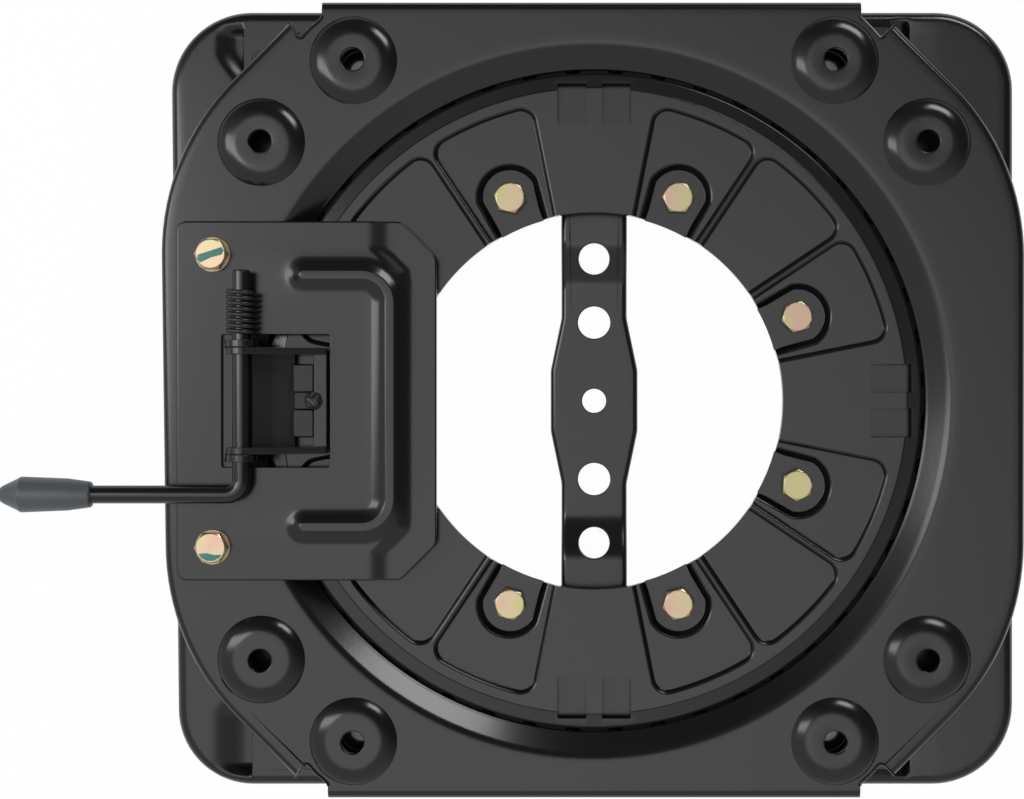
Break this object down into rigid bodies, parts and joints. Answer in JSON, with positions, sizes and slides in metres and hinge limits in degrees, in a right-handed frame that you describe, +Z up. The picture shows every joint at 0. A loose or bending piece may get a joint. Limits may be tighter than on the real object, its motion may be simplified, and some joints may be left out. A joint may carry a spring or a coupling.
{
  "type": "seat swivel plate",
  "caption": "Black steel turntable plate with a ball bearing, a bolted clamp ring, an open centre with a holed strap and a spring lever lock, for turning a vehicle seat.",
  "frame": {"origin": "on the swivel axis at the resting plane of the base plate's four mounting feet", "axes": "+Z up along the swivel axis towards the seat, -X towards the lever, +Y along the centre strap"},
  "size_m": [0.4559, 0.357, 0.0519],
  "materials": {
    "base_paint": "semi-gloss black powder coat",
    "seat_paint": "semi-gloss black powder coat",
    "ring_paint": "semi-gloss black powder coat",
    "lock_paint": "semi-gloss black powder coat",
    "lever_paint": "gloss black coat",
    "spring_steel": "black oxide wire",
    "weld_metal": "painted weld",
    "yellow_zinc": "yellow passivated zinc plate",
    "ball_steel": "polished bearing steel",
    "cage_plastic": "natural nylon",
    "grip_plastic": "grey moulded plastic"
  },
  "bodies": {
    "base": {"base_plate": "base_paint", "hub_ring": "ring_paint", "clamp_ring": "ring_paint", "clamp_bolts": "yellow_zinc", "clamp_nuts": "yellow_zinc", "centre_bridge": "base_paint"},
    "ball_set": {"bearing_balls": "ball_steel", "ball_cage": "cage_plastic"},
    "turntable": {"seat_plate": "seat_paint", "race_retainer": "ring_paint", "lock_plate": "lock_paint", "lock_bolts": "yellow_zinc", "lock_washers": "yellow_zinc", "lock_nuts": "yellow_zinc", "pivot_bracket": "lock_paint", "return_spring": "spring_steel"},
    "lever": {"lever_rod": "lever_paint", "lever_grip": "grip_plastic", "pawl_bracket": "lever_paint", "tooth_block": "lever_paint", "tooth_weld": "weld_metal"}
  },
  "joints": [
    {"name": "swivel", "type": "hinge", "parent": "base", "child": "turntable", "pos_m": [0, 0, 0], "axis": [0, 0, 1], "continuous": true},
    {"name": "ball_orbit", "type": "hinge", "parent": "base", "child": "ball_set", "pos_m": [0, 0, 0], "axis": [0, 0, 1], "continuous": true},
    {"name": "lever_turn", "type": "hinge", "parent": "turntable", "child": "lever", "pos_m": [-0.1556, 0, 0.044], "axis": [0, 1, 0], "range_deg": [-4, 11], "stiffness_Nm_per_rad": 0.8}
  ],
  "couplings": [
    {"joint": "ball_orbit", "follows": "swivel", "ratio": 0.5}
  ]
}
